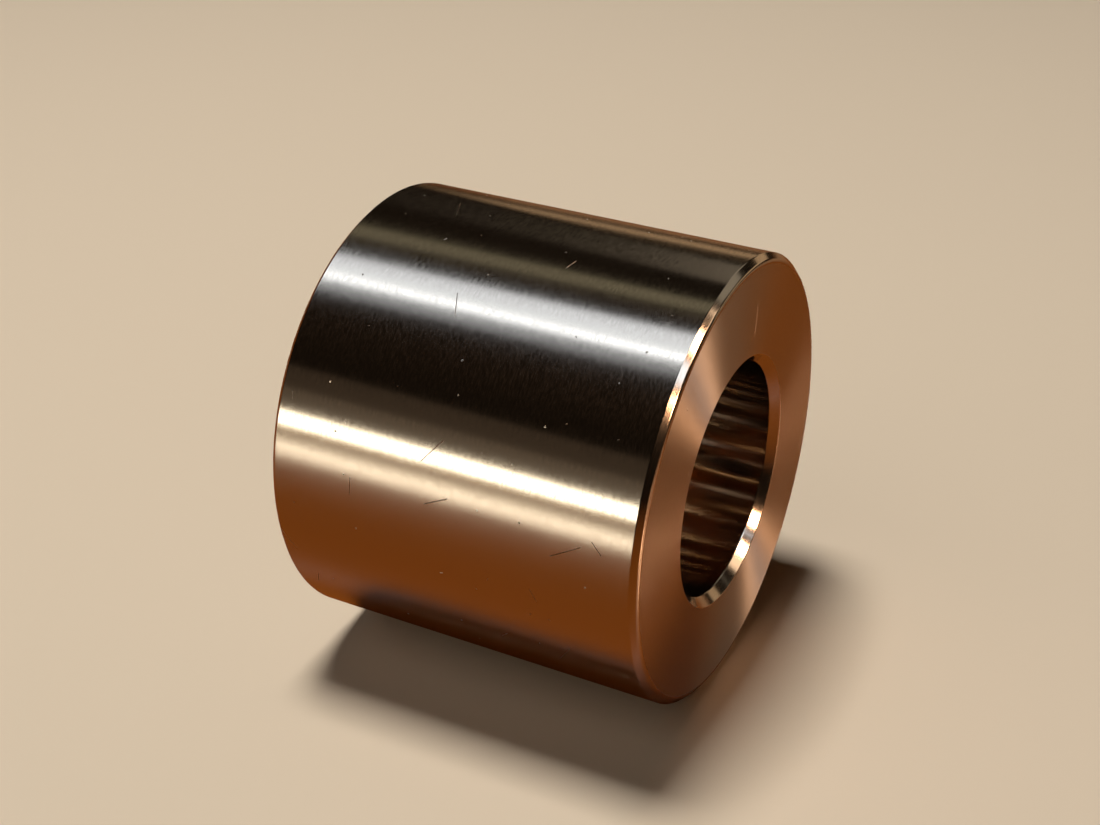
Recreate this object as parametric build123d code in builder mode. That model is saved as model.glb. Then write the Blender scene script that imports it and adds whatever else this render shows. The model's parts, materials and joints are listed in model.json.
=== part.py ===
from build123d import *
import os
from math import radians, sqrt, tan

# Shaft collar: a plain turned steel ring that one radial set screw locks to its shaft.
# The ring lies on its side. The bore runs along +X, +Z is up, and the origin is on the
# bore's axis at mid-length. Sizes are in millimetres.

# Ring
outer_diameter = 30.5
bore_diameter = 16.0
collar_length = 26.2
rim_chamfer = 0.45  # 45 degree break around both outer edges
bore_chamfer = 0.6  # 45 degree lead-in at both ends of the bore
screw_hole_chamfer = 0.7  # lead-in at the mouth of the tapped hole

# Set screw: M6, hexagon socket, cup point
thread_diameter = 6.0
thread_pitch = 1.0
screw_length = 6.0
socket_across_flats = 3.0
socket_depth = 2.5  # to the start of the drill point
socket_lead_in = 0.15  # how far the countersink reaches past the socket's corners
socket_end_chamfer = 0.5  # 45 degree run-out of the thread at the socket end
cup_diameter = 3.0  # rim of the cup point that bites into the shaft
cup_angle = 118.0  # included angle of the hollow in the cup point
drill_angle = 118.0  # included angle at the bottom of the socket

# Fits
thread_clearance = 0.05  # radial gap between the screw and its tapped hole
screw_back_off = thread_pitch  # the screw is stored one turn clear of the shaft

# Worked out from the sizes above
outer_radius = outer_diameter / 2
bore_radius = bore_diameter / 2
tapped_radius = thread_diameter / 2
screw_radius = tapped_radius - thread_clearance
screw_tip = bore_radius + screw_back_off  # distance of the cup's rim from the bore axis
screw_head = screw_tip + screw_length  # distance of the socket end from the bore axis

os.makedirs("parts", exist_ok=True)

# The ring: faced, turned and bored bar with every edge broken, then drilled and tapped
# through one side at mid-length.
with BuildPart() as collar_body:
    with BuildSketch(Plane.YZ.offset(-collar_length / 2)):
        Circle(outer_radius)
        Circle(bore_radius, mode=Mode.SUBTRACT)
    extrude(amount=collar_length)
    end_circles = collar_body.edges().filter_by(GeomType.CIRCLE)
    chamfer(end_circles.filter_by(lambda edge: edge.radius > bore_radius), length=rim_chamfer)
    bore_circles = collar_body.edges().filter_by(GeomType.CIRCLE)
    chamfer(bore_circles.filter_by(lambda edge: edge.radius <= bore_radius), length=bore_chamfer)
    with Locations(Plane(origin=(0, outer_radius, 0), x_dir=(1, 0, 0), z_dir=(0, 1, 0))):
        CounterSinkHole(
            radius=tapped_radius,
            counter_sink_radius=tapped_radius + screw_hole_chamfer,
            depth=outer_radius,
            counter_sink_angle=90,
        )
collar_body.part.label = "collar_body"
export_step(collar_body.part, "parts/collar_body.step")

# The set screw: a threaded stud, pointed and hollowed at the end that meets the shaft,
# drilled, countersunk and broached with a hexagon at the other. The thread is a plain
# cylinder of its outside diameter.
cup_radius = cup_diameter / 2
cup_depth = cup_radius / tan(radians(cup_angle / 2))
point_length = screw_radius - cup_radius
drill_radius = socket_across_flats / 2
drill_point = drill_radius / tan(radians(drill_angle / 2))
socket_corner = socket_across_flats / sqrt(3)
sink_radius = socket_corner + socket_lead_in
sink_depth = sink_radius - drill_radius
socket_floor = screw_length - socket_depth

with BuildPart() as set_screw:
    with BuildSketch(Plane.XY.move(Location((0, screw_tip, 0)))):
        with BuildLine():
            Polyline(
                (0, cup_depth),
                (cup_radius, 0),
                (screw_radius, point_length),
                (screw_radius, screw_length - socket_end_chamfer),
                (screw_radius - socket_end_chamfer, screw_length),
                (0, screw_length),
                close=True,
            )
        make_face()
    revolve(axis=Axis.Y)
    with BuildSketch(Plane.XY.move(Location((0, screw_tip, 0)))):
        with BuildLine():
            Polyline(
                (0, socket_floor - drill_point),
                (drill_radius, socket_floor),
                (drill_radius, screw_length - sink_depth),
                (sink_radius, screw_length),
                (0, screw_length),
                close=True,
            )
        make_face()
    revolve(axis=Axis.Y, mode=Mode.SUBTRACT)
    with BuildSketch(Plane(origin=(0, screw_head, 0), x_dir=(1, 0, 0), z_dir=(0, 1, 0))):
        RegularPolygon(radius=drill_radius, side_count=6, major_radius=False)
    extrude(amount=-socket_depth, mode=Mode.SUBTRACT)
set_screw.part.label = "set_screw"
export_step(set_screw.part, "parts/set_screw.step")
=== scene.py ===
import json
from math import hypot, pi, radians, sqrt, tan

import bmesh
import bpy
from mathutils import Matrix, Vector


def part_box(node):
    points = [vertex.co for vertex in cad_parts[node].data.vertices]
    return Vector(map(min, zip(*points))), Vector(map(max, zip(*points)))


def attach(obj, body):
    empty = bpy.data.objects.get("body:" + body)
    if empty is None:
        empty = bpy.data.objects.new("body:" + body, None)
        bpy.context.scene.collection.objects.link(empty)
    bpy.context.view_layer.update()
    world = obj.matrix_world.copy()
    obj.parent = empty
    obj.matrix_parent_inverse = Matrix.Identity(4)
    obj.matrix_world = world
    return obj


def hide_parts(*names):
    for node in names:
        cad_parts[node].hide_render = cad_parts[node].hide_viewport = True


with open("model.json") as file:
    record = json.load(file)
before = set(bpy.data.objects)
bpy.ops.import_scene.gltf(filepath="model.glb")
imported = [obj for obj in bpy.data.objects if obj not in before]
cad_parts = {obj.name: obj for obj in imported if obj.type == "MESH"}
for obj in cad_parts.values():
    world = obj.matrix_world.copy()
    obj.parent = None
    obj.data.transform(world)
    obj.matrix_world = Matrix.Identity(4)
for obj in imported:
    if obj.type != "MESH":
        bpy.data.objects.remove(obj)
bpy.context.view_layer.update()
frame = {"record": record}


# Collar ring
# One piece of bright steel bar, turned and fine-finished outside, faced square at both ends,
# bored through, and broken at every edge. One side is drilled and tapped M6 at mid-length
# for the screw that locks it to its shaft.
mm = 0.001
ring_low, ring_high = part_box("collar_body")
half_length = ring_high.x
outer_radius = ring_high.z
bore_radius = frame["record"]["mounts"][0]["dims"]["r_mm"] * mm
rim_break = 0.45 * mm
bore_break = 0.6 * mm
fine_edge = 0.04 * mm
rolled_edge = 0.2 * mm
longest_in_a_corner = 0.15 * mm    # a longer stretch of the section is a flat run, not a corner
steps_round = 288

ring = bmesh.new()
section_corners = [
    (-half_length, bore_radius + bore_break),
    (-half_length, outer_radius - rim_break),
    (-half_length + rim_break, outer_radius),
    (half_length - rim_break, outer_radius),
    (half_length, outer_radius - rim_break),
    (half_length, bore_radius + bore_break),
    (half_length - bore_break, bore_radius),
    (-half_length + bore_break, bore_radius),
]
corners = [ring.verts.new((x, 0, radius)) for x, radius in section_corners]
section = ring.faces.new(corners)
face_rims = [corners[1], corners[4]]
other_rims = [corner for corner in corners if corner not in face_rims]
bmesh.ops.bevel(ring, geom=face_rims, affect="VERTICES", offset=rolled_edge, segments=5,
                profile=0.5, material=-1)
bmesh.ops.bevel(ring, geom=other_rims, affect="VERTICES", offset=fine_edge, segments=3,
                profile=0.5, material=-1)

# The true surface normal at each point of the section, so that the turned surfaces shade
# as perfect cylinders, cones and flats.
section = ring.faces[:][0]
section.normal_update()
section_normals = []
for loop in section.loops:
    before = loop.vert.co - loop.link_loop_prev.vert.co
    after = loop.link_loop_next.vert.co - loop.vert.co
    if before.length > longest_in_a_corner:
        along = before.normalized()
    elif after.length > longest_in_a_corner:
        along = after.normalized()
    else:
        along = before.normalized() + after.normalized()
    outward = along.cross(section.normal).normalized()
    section_normals.append((loop.vert.co.x, loop.vert.co.z, outward.x, outward.z))

bmesh.ops.delete(ring, geom=[section], context="FACES_ONLY")
bmesh.ops.spin(ring, geom=ring.verts[:] + ring.edges[:], cent=(0, 0, 0), axis=(1, 0, 0),
               dvec=(0, 0, 0), angle=2 * pi, steps=steps_round, use_merge=True)
bmesh.ops.recalc_face_normals(ring, faces=ring.faces[:])


def mesh_object(shape, name):
    mesh = bpy.data.meshes.new(name)
    shape.to_mesh(mesh)
    shape.free()
    piece = bpy.data.objects.new(name, mesh)
    bpy.context.scene.collection.objects.link(piece)
    return piece


def cut(piece, tool, operation):
    """Cuts piece with tool, as a machine would, and throws the tool away."""
    cutting = piece.modifiers.new("cut", "BOOLEAN")
    cutting.operation = operation
    cutting.solver = "EXACT"
    cutting.object = tool
    bpy.context.view_layer.update()
    ready = piece.evaluated_get(bpy.context.evaluated_depsgraph_get())
    result = bpy.data.meshes.new_from_object(ready)
    piece.modifiers.clear()
    uncut_mesh = piece.data
    piece.data = result
    result.name = piece.name
    bpy.data.meshes.remove(uncut_mesh)
    bpy.data.objects.remove(tool)


# The M6 thread, as a solid for the tap and for the screw. It runs along +Y from the bore
# axis, and the same phase keeps the two in mesh.
thread_pitch = 1.0 * mm
thread_half_angle = radians(30)
steps_a_turn = 48


def thread_solid(name, crest_radius, root_radius, crest_share, start, end):
    """A helical thread of that crest and root radius, cut square at start and end along Y."""
    thread = bmesh.new()
    flank = (crest_radius - root_radius) * tan(thread_half_angle)
    crest = crest_share * thread_pitch
    root = thread_pitch - crest - 2 * flank
    first = int(start / thread_pitch) - 2
    last = int(end / thread_pitch) + 3
    spine = []
    for turn in range(first, last):
        middle = turn * thread_pitch
        spine.append((middle - root / 2, root_radius))
        spine.append((middle + root / 2, root_radius))
        spine.append((middle + root / 2 + flank, crest_radius))
        spine.append((middle + root / 2 + flank + crest, crest_radius))
    points = [thread.verts.new((radius, along, 0)) for along, radius in spine]
    for low, high in zip(points, points[1:]):
        thread.edges.new((low, high))
    bmesh.ops.spin(thread, geom=thread.verts[:] + thread.edges[:], cent=(0, 0, 0),
                   axis=(0, 1, 0), dvec=(0, thread_pitch / steps_a_turn, 0), angle=2 * pi,
                   steps=steps_a_turn, use_merge=False)
    bmesh.ops.remove_doubles(thread, verts=thread.verts[:], dist=0.002 * mm)
    for height, side in ((start, -1), (end, 1)):
        everything = thread.verts[:] + thread.edges[:] + thread.faces[:]
        bmesh.ops.bisect_plane(thread, geom=everything, plane_co=(0, height, 0),
                               plane_no=(0, side, 0), clear_outer=True)
    rims = [edge for edge in thread.edges if edge.is_boundary]
    bmesh.ops.holes_fill(thread, edges=rims, sides=0)
    bmesh.ops.recalc_face_normals(thread, faces=thread.faces[:])
    return mesh_object(thread, name)


collar = mesh_object(ring, "collar_ring")
tapped_radius = 3.0 * mm
tapped_minor_radius = 2.46 * mm
tapped_crest_share = 0.25
tap_tip = bore_radius - 2.5 * mm
tap_back = outer_radius + 2 * mm
cut(collar, thread_solid("tap", tapped_radius, tapped_minor_radius, tapped_crest_share,
                         tap_tip, tap_back), "DIFFERENCE")

# A 90 degree countersink, whose cone also stands clear of the ring outside.
mouth_break = 0.7 * mm
sink = bmesh.new()
sink_reach = 2 * mm
sink_tip_radius = 0.5 * mm
sink_back_radius = tapped_radius + mouth_break + sink_reach
sink_height = sink_back_radius - sink_tip_radius
bmesh.ops.create_cone(sink, cap_ends=True, segments=96, radius1=sink_tip_radius,
                      radius2=sink_back_radius, depth=sink_height,
                      matrix=Matrix.Rotation(-pi / 2, 4, "X"))
sink_middle = outer_radius + sink_reach - sink_height / 2
bmesh.ops.translate(sink, verts=sink.verts[:], vec=(0, sink_middle, 0))
bmesh.ops.recalc_face_normals(sink, faces=sink.faces[:])
cut(collar, mesh_object(sink, "countersink"), "DIFFERENCE")


same_point = 0.001 * mm


def section_normal(x, distance, on_outside):
    """The normal along and across the axis. A point that a cut has added lies on a cylinder."""
    for known_x, known_distance, lengthwise, crosswise in section_normals:
        if hypot(known_x - x, known_distance - distance) < same_point:
            return lengthwise, crosswise
    return 0.0, 1.0 if on_outside else -1.0


# Which tool made each face, and its true normals.
OUTSIDE, END_FACE, BROKEN_EDGE, BORE, TAPPED = range(5)
on_cylinder = 0.01 * mm
sharpest_smooth = radians(32)
mesh = collar.data
mesh.set_sharp_from_angle(angle=sharpest_smooth)
true_normals = [(0.0, 0.0, 0.0)] * len(mesh.loops)
hole_reach = 1.5 * tapped_radius
for face in mesh.polygons:
    face.use_smooth = True
    middle = face.center
    radial = Vector((0, middle.y, middle.z)).normalized()
    across = face.normal.dot(radial)
    distances = [hypot(mesh.vertices[v].co.y, mesh.vertices[v].co.z) for v in face.vertices]
    on_outside = min(distances) > outer_radius - on_cylinder and across > 0.99
    on_bore = max(distances) < bore_radius + on_cylinder and across < -0.99
    near_hole = hypot(middle.x, middle.z) < hole_reach and middle.y > 0
    if on_outside:
        face.material_index = OUTSIDE
    elif on_bore:
        face.material_index = BORE
    elif near_hole:
        face.material_index = TAPPED
        continue
    elif abs(face.normal.x) > 0.999:
        face.material_index = END_FACE
    else:
        face.material_index = BROKEN_EDGE
    for corner in face.loop_indices:
        point = mesh.vertices[mesh.loops[corner].vertex_index].co
        distance = hypot(point.y, point.z)
        lengthwise, crosswise = section_normal(point.x, distance, on_outside)
        true_normals[corner] = (lengthwise, crosswise * point.y / distance,
                                crosswise * point.z / distance)
mesh.normals_split_custom_set(true_normals)


def handling_marks(nodes, links, split, on_outside):
    """A mask of a few hair scratches and tiny specks, spread out round the piece. They are
    laid out on the outside unrolled, with the seam underneath, or across a flat face."""
    sheet = nodes.new("ShaderNodeCombineXYZ")
    if on_outside:
        turn = nodes.new("ShaderNodeMath")
        turn.operation = "ARCTAN2"
        links.new(split.outputs["Y"], turn.inputs[0])
        links.new(split.outputs["Z"], turn.inputs[1])
        unrolled = nodes.new("ShaderNodeMath")
        unrolled.operation = "MULTIPLY"
        unrolled.inputs[1].default_value = outer_radius
        links.new(turn.outputs[0], unrolled.inputs[0])
        links.new(split.outputs["X"], sheet.inputs["X"])
        links.new(unrolled.outputs[0], sheet.inputs["Y"])
    else:
        links.new(split.outputs["Y"], sheet.inputs["X"])
        links.new(split.outputs["Z"], sheet.inputs["Y"])

    # In millimetres: a patch of that size holds at most one mark, of that length and half
    # width. The last number is the share of patches that has one.
    scratches = (4.6, 2.8, 0.028, 0.45)
    specks = (3.1, 0.16, 0.08, 0.45)
    marks = []
    for patch_size, longest, half_width, share in (scratches, specks):
        laid = nodes.new("ShaderNodeVectorMath")
        laid.operation = "SCALE"
        laid.inputs["Scale"].default_value = 1 / (patch_size * mm)
        links.new(sheet.outputs[0], laid.inputs[0])
        patch = nodes.new("ShaderNodeTexVoronoi")
        patch.voronoi_dimensions = "2D"
        patch.inputs["Scale"].default_value = 1.0
        links.new(laid.outputs[0], patch.inputs["Vector"])
        away = nodes.new("ShaderNodeVectorMath")
        away.operation = "SUBTRACT"
        links.new(laid.outputs[0], away.inputs[0])
        links.new(patch.outputs["Position"], away.inputs[1])
        chance = nodes.new("ShaderNodeSeparateColor")
        links.new(patch.outputs["Color"], chance.inputs[0])
        heading = nodes.new("ShaderNodeMath")
        heading.operation = "MULTIPLY"
        heading.inputs[1].default_value = pi
        links.new(chance.outputs["Red"], heading.inputs[0])
        turned = nodes.new("ShaderNodeVectorRotate")
        turned.rotation_type = "Z_AXIS"
        links.new(away.outputs[0], turned.inputs["Vector"])
        links.new(heading.outputs[0], turned.inputs["Angle"])
        mark = nodes.new("ShaderNodeSeparateXYZ")
        links.new(turned.outputs[0], mark.inputs[0])

        reach = nodes.new("ShaderNodeMath")
        reach.operation = "MULTIPLY"
        reach.inputs[1].default_value = longest / 2 / patch_size
        links.new(chance.outputs["Blue"], reach.inputs[0])
        along = nodes.new("ShaderNodeMath")
        along.operation = "ABSOLUTE"
        links.new(mark.outputs["X"], along.inputs[0])
        inside = nodes.new("ShaderNodeMath")
        inside.operation = "LESS_THAN"
        links.new(along.outputs[0], inside.inputs[0])
        links.new(reach.outputs[0], inside.inputs[1])
        across = nodes.new("ShaderNodeMath")
        across.operation = "ABSOLUTE"
        links.new(mark.outputs["Y"], across.inputs[0])
        stroke = nodes.new("ShaderNodeMapRange")
        stroke.inputs["From Min"].default_value = 0.0
        stroke.inputs["From Max"].default_value = half_width / patch_size
        stroke.inputs["To Min"].default_value = 1.0
        stroke.inputs["To Max"].default_value = 0.0
        links.new(across.outputs[0], stroke.inputs["Value"])
        chosen = nodes.new("ShaderNodeMath")
        chosen.operation = "LESS_THAN"
        chosen.inputs[1].default_value = share
        links.new(chance.outputs["Green"], chosen.inputs[0])
        drawn = nodes.new("ShaderNodeMath")
        drawn.operation = "MULTIPLY"
        links.new(inside.outputs[0], drawn.inputs[0])
        links.new(stroke.outputs[0], drawn.inputs[1])
        kept = nodes.new("ShaderNodeMath")
        kept.operation = "MULTIPLY"
        links.new(drawn.outputs[0], kept.inputs[0])
        links.new(chosen.outputs[0], kept.inputs[1])
        marks.append(kept)
    marked = nodes.new("ShaderNodeMath")
    marked.operation = "MAXIMUM"
    links.new(marks[0].outputs[0], marked.inputs[0])
    links.new(marks[1].outputs[0], marked.inputs[1])
    return marked.outputs[0]


def turned_steel(name, roughness, anisotropy, grains_a_mm, grain_height, unevenness,
                 marked=None, colour=(0.55, 0.534, 0.517)):
    """Bright steel with the fine grain that a lathe and emery cloth leave: long round the
    axis, close together across it. Unevenness is how much duller the deep streaks are."""
    material = bpy.data.materials.new(name)
    material.use_nodes = True
    nodes = material.node_tree.nodes
    links = material.node_tree.links
    steel = nodes["Principled BSDF"]
    steel.inputs["Metallic"].default_value = 1.0
    steel.inputs["Anisotropic"].default_value = anisotropy
    steel.inputs["Anisotropic Rotation"].default_value = 0.25

    place = nodes.new("ShaderNodeTexCoord")
    split = nodes.new("ShaderNodeSeparateXYZ")
    links.new(place.outputs["Object"], split.inputs[0])

    # The grain's direction, round the bore axis.
    against = nodes.new("ShaderNodeMath")
    against.operation = "MULTIPLY"
    against.inputs[1].default_value = -1
    links.new(split.outputs["Z"], against.inputs[0])
    round_axis = nodes.new("ShaderNodeCombineXYZ")
    links.new(against.outputs[0], round_axis.inputs["Y"])
    links.new(split.outputs["Y"], round_axis.inputs["Z"])
    to_world = nodes.new("ShaderNodeVectorTransform")
    to_world.vector_type = "VECTOR"
    to_world.convert_from = "OBJECT"
    to_world.convert_to = "WORLD"
    links.new(round_axis.outputs[0], to_world.inputs[0])
    unit = nodes.new("ShaderNodeVectorMath")
    unit.operation = "NORMALIZE"
    links.new(to_world.outputs[0], unit.inputs[0])
    links.new(unit.outputs[0], steel.inputs["Tangent"])

    # Grain. It changes fast along the axis and the radius and slowly round the axis, so that
    # one noise serves cylinders and flats.
    flat = nodes.new("ShaderNodeCombineXYZ")
    links.new(split.outputs["Y"], flat.inputs["Y"])
    links.new(split.outputs["Z"], flat.inputs["Z"])
    radius = nodes.new("ShaderNodeVectorMath")
    radius.operation = "LENGTH"
    links.new(flat.outputs[0], radius.inputs[0])
    radius_scaled = nodes.new("ShaderNodeMath")
    radius_scaled.operation = "MULTIPLY"
    radius_scaled.inputs[1].default_value = grains_a_mm / mm
    links.new(radius.outputs["Value"], radius_scaled.inputs[0])
    stretched = nodes.new("ShaderNodeMapping")
    streaks = 2.2 / mm
    stretched.inputs["Scale"].default_value = (grains_a_mm / mm, streaks, streaks)
    links.new(place.outputs["Object"], stretched.inputs["Vector"])
    grain = nodes.new("ShaderNodeTexNoise")
    grain.noise_dimensions = "4D"
    grain.inputs["Scale"].default_value = 1.0
    grain.inputs["Detail"].default_value = 2.0
    grain.inputs["Roughness"].default_value = 0.6
    links.new(stretched.outputs[0], grain.inputs["Vector"])
    links.new(radius_scaled.outputs[0], grain.inputs["W"])
    relief = nodes.new("ShaderNodeBump")
    relief.inputs["Strength"].default_value = 1.0
    relief.inputs["Distance"].default_value = grain_height * mm
    links.new(grain.outputs["Fac"], relief.inputs["Height"])
    links.new(relief.outputs["Normal"], steel.inputs["Normal"])

    # The deeper streaks are rougher and a little darker than the burnished ones.
    dulled = nodes.new("ShaderNodeMapRange")
    dulled.inputs["From Min"].default_value = 0.35
    dulled.inputs["From Max"].default_value = 0.65
    dulled.inputs["To Min"].default_value = roughness * (1 - 0.4 * unevenness)
    dulled.inputs["To Max"].default_value = roughness * (1 + unevenness)
    links.new(grain.outputs["Fac"], dulled.inputs["Value"])
    links.new(dulled.outputs["Result"], steel.inputs["Roughness"])
    shade = nodes.new("ShaderNodeValToRGB")
    contrast = 0.04 * unevenness
    burnished = Vector(colour) * (1 + contrast)
    deep = Vector(colour) * (1 - contrast)
    shade.color_ramp.elements[0].position = 0.3
    shade.color_ramp.elements[0].color = (*burnished, 1)
    shade.color_ramp.elements[1].position = 0.7
    shade.color_ramp.elements[1].color = (*deep, 1)
    links.new(grain.outputs["Fac"], shade.inputs["Fac"])
    links.new(shade.outputs["Color"], steel.inputs["Base Color"])

    # Handling marks tear the surface, and are dull inside.
    if marked:
        marks = handling_marks(nodes, links, split, on_outside=marked == "outside")
        torn = nodes.new("ShaderNodeBump")
        torn.inputs["Strength"].default_value = 1.0
        torn.inputs["Distance"].default_value = 0.02 * mm
        links.new(marks, torn.inputs["Height"])
        links.new(relief.outputs["Normal"], torn.inputs["Normal"])
        links.new(torn.outputs["Normal"], steel.inputs["Normal"])
        finish = nodes.new("ShaderNodeMix")
        finish.data_type = "FLOAT"
        finish.inputs["B"].default_value = 0.5
        links.new(marks, finish.inputs["Factor"])
        links.new(dulled.outputs["Result"], finish.inputs["A"])
        links.new(finish.outputs["Result"], steel.inputs["Roughness"])
    return material


for material in (
    turned_steel("turned_outside", 0.18, 0.9, 12, 0.0025, 0.4, marked="outside"),
    turned_steel("faced_end", 0.36, 0.97, 12, 0.0004, 0.1, marked="flat"),
    turned_steel("broken_edge", 0.12, 0.5, 12, 0.0004, 0.2),
    turned_steel("bored_wall", 0.07, 0.8, 10, 0.0002, 0.3, colour=(0.63, 0.57, 0.51)),
    turned_steel("tapped_thread", 0.3, 0.0, 8, 0.002, 0.2),
):
    mesh.materials.append(material)
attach(collar, "collar")
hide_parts("collar_body")


# Set screw
# An M6 x 6 hexagon socket screw with a cup point, in hardened alloy steel with a black
# oxide finish. Its blank is headed and broached, and its thread is rolled.
screw_low, screw_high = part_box("set_screw")
screw_tip = screw_low.y
screw_head = screw_high.y
screw_radius = screw_high.x
screw_root_radius = 2.38 * mm
cup_radius = 1.5 * mm
cup_depth = cup_radius / tan(radians(59))
socket_flat = 1.5 * mm
socket_depth = 2.5 * mm
socket_corner = 2 * socket_flat / sqrt(3)
socket_rim = socket_corner + 0.15 * mm
drill_radius = 1.46 * mm
drill_depth = 2.6 * mm
drill_point = drill_radius / tan(radians(59))
end_break = 0.5 * mm
half_rim_of_cup = 0.06 * mm
screw_crest_share = 0.09
screw_steps = 96

blank = bmesh.new()
over_thread = 0.1 * mm
blank_radius = screw_radius + over_thread
screw_length = screw_head - screw_tip
blank_section = [
    (0, cup_depth),
    (cup_radius - half_rim_of_cup, 0),
    (cup_radius + half_rim_of_cup, 0),
    (blank_radius, blank_radius - cup_radius),
    (blank_radius, screw_length - end_break - over_thread),
    (screw_radius - end_break, screw_length),
    (socket_rim, screw_length),
    (drill_radius, screw_length - socket_rim + drill_radius),
    (drill_radius, screw_length - drill_depth),
    (0, screw_length - drill_depth - drill_point),
]
points = [blank.verts.new((radius, screw_tip + along, 0)) for radius, along in blank_section]
for low, high in zip(points, points[1:]):
    blank.edges.new((low, high))
bmesh.ops.spin(blank, geom=blank.verts[:] + blank.edges[:], cent=(0, 0, 0), axis=(0, 1, 0),
               dvec=(0, 0, 0), angle=2 * pi, steps=screw_steps, use_merge=True)
bmesh.ops.remove_doubles(blank, verts=blank.verts[:], dist=same_point)
half_step = Matrix.Rotation(pi / screw_steps, 3, "Y")
bmesh.ops.rotate(blank, verts=blank.verts[:], cent=(0, 0, 0), matrix=half_step)
bmesh.ops.recalc_face_normals(blank, faces=blank.faces[:])
screw = mesh_object(blank, "set_screw_m6")
cut(screw, thread_solid("rolled_thread", screw_radius, screw_root_radius, screw_crest_share,
                        screw_tip - thread_pitch, screw_head + thread_pitch), "INTERSECT")

broach = bmesh.new()
bmesh.ops.create_cone(broach, cap_ends=True, segments=6, radius1=socket_corner,
                      radius2=socket_corner, depth=2 * socket_depth,
                      matrix=Matrix.Rotation(-pi / 2, 4, "X"))
bmesh.ops.translate(broach, verts=broach.verts[:], vec=(0, screw_head, 0))
bmesh.ops.recalc_face_normals(broach, faces=broach.faces[:])
cut(screw, mesh_object(broach, "broach"), "DIFFERENCE")
for face in screw.data.polygons:
    face.use_smooth = True
screw.data.set_sharp_from_angle(angle=sharpest_smooth)

oxide = bpy.data.materials.new("black_oxide")
oxide.use_nodes = True
nodes = oxide.node_tree.nodes
links = oxide.node_tree.links
skin = nodes["Principled BSDF"]
skin.inputs["Metallic"].default_value = 0.85
skin.inputs["Roughness"].default_value = 0.36
place = nodes.new("ShaderNodeTexCoord")
mottle = nodes.new("ShaderNodeTexNoise")
mottle.inputs["Scale"].default_value = 0.9 / mm
mottle.inputs["Detail"].default_value = 4
links.new(place.outputs["Object"], mottle.inputs["Vector"])
shade = nodes.new("ShaderNodeValToRGB")
shade.color_ramp.elements[0].position = 0.35
shade.color_ramp.elements[0].color = (0.055, 0.054, 0.058, 1)
shade.color_ramp.elements[1].position = 0.75
shade.color_ramp.elements[1].color = (0.13, 0.127, 0.128, 1)
links.new(mottle.outputs["Fac"], shade.inputs["Fac"])
links.new(shade.outputs["Color"], skin.inputs["Base Color"])
relief = nodes.new("ShaderNodeBump")
relief.inputs["Distance"].default_value = 0.004 * mm
links.new(mottle.outputs["Fac"], relief.inputs["Height"])
links.new(relief.outputs["Normal"], skin.inputs["Normal"])
screw.data.materials.clear()
screw.data.materials.append(oxide)
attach(screw, "screw")
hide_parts("set_screw")


# Studio
# A plain pale floor under a key and a fill light. The steel mirrors a varnished brown table
# top and soft light panels round it, which nothing but its reflections shows.
floor_level = -outer_radius
stage_radius = 4.0


def stage_disc(name, height, colour, roughness):
    """A wide round floor at that height, in a plain material."""
    shape = bmesh.new()
    bmesh.ops.create_circle(shape, cap_ends=True, segments=64, radius=stage_radius)
    bmesh.ops.translate(shape, verts=shape.verts[:], vec=(0, 0, height))
    disc = mesh_object(shape, name)
    finish = bpy.data.materials.new(name)
    finish.use_nodes = True
    surface = finish.node_tree.nodes["Principled BSDF"]
    surface.inputs["Base Color"].default_value = (*colour, 1)
    surface.inputs["Roughness"].default_value = roughness
    disc.data.materials.append(finish)
    return disc


floor = stage_disc("floor", floor_level, (0.78, 0.65, 0.50), 0.6)
floor.visible_glossy = False
matt = floor.data.materials[0].node_tree.nodes["Principled BSDF"]
matt.inputs["Specular IOR Level"].default_value = 0.0
table = stage_disc("table", floor_level + 0.01 * mm, (0.30, 0.075, 0.006), 0.36)
varnish = table.data.materials[0].node_tree.nodes["Principled BSDF"]
varnish.inputs["Coat Weight"].default_value = 1.0
varnish.inputs["Coat Roughness"].default_value = 0.14
varnish.inputs["Coat IOR"].default_value = 1.25
varnish.inputs["IOR"].default_value = 1.4
table.visible_camera = False
table.visible_diffuse = False
table.visible_shadow = False

room = bpy.data.worlds.new("room")
room.use_nodes = True
room.node_tree.nodes["Background"].inputs["Color"].default_value = (0.9, 0.55, 0.3, 1)
room.node_tree.nodes["Background"].inputs["Strength"].default_value = 0.009
bpy.context.scene.world = room


def panel(name, place, width, height, brightness, colour, on_floor=False, in_steel=True):
    """A soft light panel that faces the collar, long side level, and isn't seen directly."""
    light = bpy.data.lights.new(name, "AREA")
    light.shape = "RECTANGLE"
    light.size = width
    light.size_y = height
    light.energy = brightness * pi * width * height
    light.color = colour
    back = Vector(place).normalized()
    level = (Vector((1, 0, 0)) - back * back.x).normalized()
    lamp = bpy.data.objects.new(name, light)
    lamp.matrix_world = Matrix((level, back.cross(level), back)).transposed().to_4x4()
    lamp.location = place
    lamp.visible_camera = False
    lamp.visible_diffuse = on_floor
    lamp.visible_glossy = in_steel
    bpy.context.scene.collection.objects.link(lamp)
    return lamp


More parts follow.
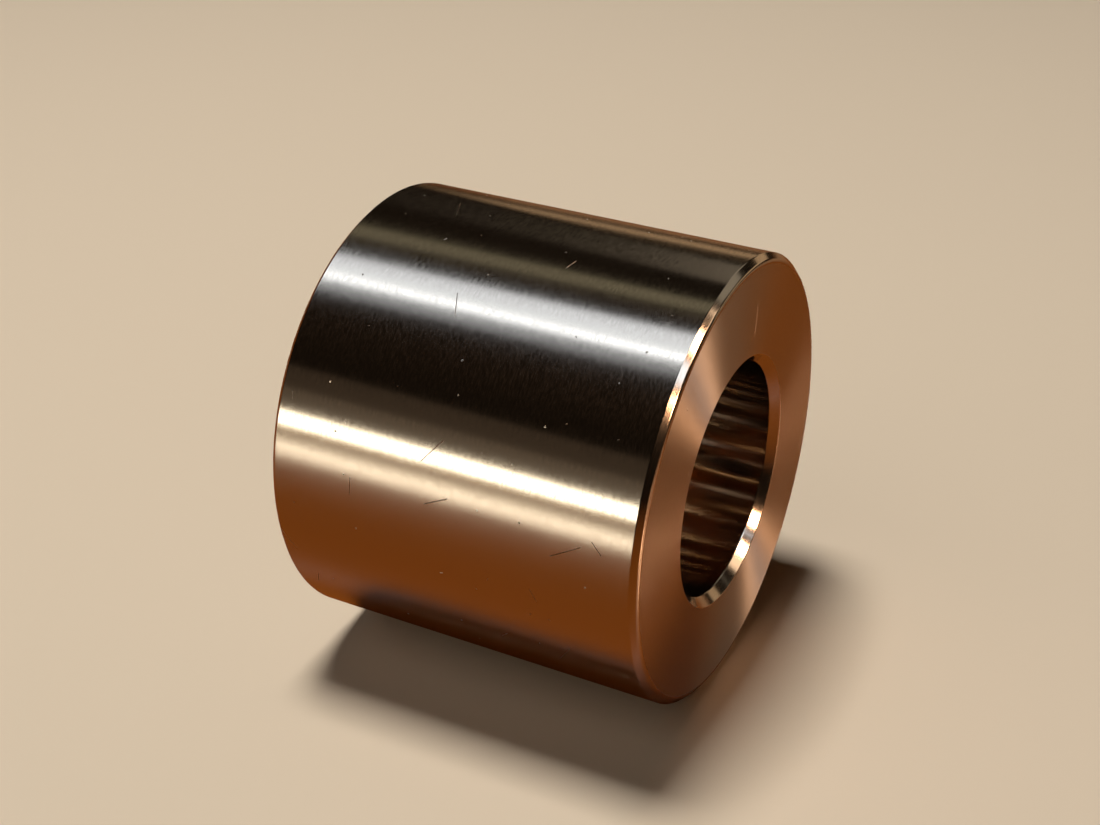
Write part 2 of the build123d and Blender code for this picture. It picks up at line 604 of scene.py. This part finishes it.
daylight = (0.95, 0.98, 1.0)
lamplight = (1.0, 0.84, 0.6)
floor_light = (1.0, 0.97, 0.92)
panel("key", (-0.07, 0.0, 0.45), 0.12, 0.12, 38.0, floor_light, on_floor=True, in_steel=False)
panel("fill", (-0.5, -0.9, 0.9), 1.2, 1.0, 0.6, floor_light, on_floor=True, in_steel=False)
panel("ceiling", (0.0, 0.002, 0.5), 1.4, 0.15, 1.35, daylight)
panel("ceiling_tube", (0.0, -0.044, 0.5), 1.2, 0.014, 3.6, (1.0, 1.0, 0.95))
panel("ceiling_glow", (0.0, -0.100, 0.49), 1.4, 0.06, 0.3, daylight)
panel("front_high", (-0.60, -1.266, 0.537), 0.9, 0.50, 0.06, (1.0, 0.65, 0.38))
panel("front_halo", (-0.60, -1.31, 0.40), 0.9, 0.26, 0.09, (1.0, 0.72, 0.45))
panel("front_left", (-0.353, -0.80, 0.100), 0.53, 0.095, 6.4, lamplight)
panel("front_horizon", (-0.353, -0.80, 0.018), 0.53, 0.053, 0.6, (1.0, 0.65, 0.37))
panel("right_hand", (0.49, 0.188, 0.291), 0.10, 0.08, 44.0, (1.0, 0.54, 0.28))
panel("right_back", (0.447, 0.302, 0.263), 0.12, 0.08, 2.0, (1.0, 0.66, 0.40))
panel("right_window", (0.52, 0.06, 0.30), 0.09, 0.08, 2.0, daylight)
panel("right_low", (0.562, 0.005, 0.21), 0.08, 0.06, 62.0, (1.0, 0.50, 0.24))
panel("back_high", (-0.20, 0.204, 0.41), 0.7, 0.06, 0.25, (0.95, 0.80, 0.48))
panel("back_middle", (0.09, 0.375, 0.263), 0.5, 0.17, 0.32, (1.0, 0.80, 0.55))
panel("back_low", (0.12, 0.62, 0.075), 1.0, 0.09, 0.50, (1.0, 0.62, 0.32))

eye = bpy.data.cameras.new("camera")
eye.lens = 57.45
eye.sensor_width = 36
eye.clip_start = 0.005
camera = bpy.data.objects.new("camera", eye)
camera.location = (0.04743, -0.09262, 0.06127)
looking = Vector((-0.3988, 0.7712, -0.4962))
camera.rotation_euler = looking.to_track_quat("-Z", "Y").to_euler()
bpy.context.scene.collection.objects.link(camera)
bpy.context.scene.camera = camera
bpy.context.scene.view_settings.view_transform = "Standard"
bpy.context.scene.cycles.glossy_bounces = 10
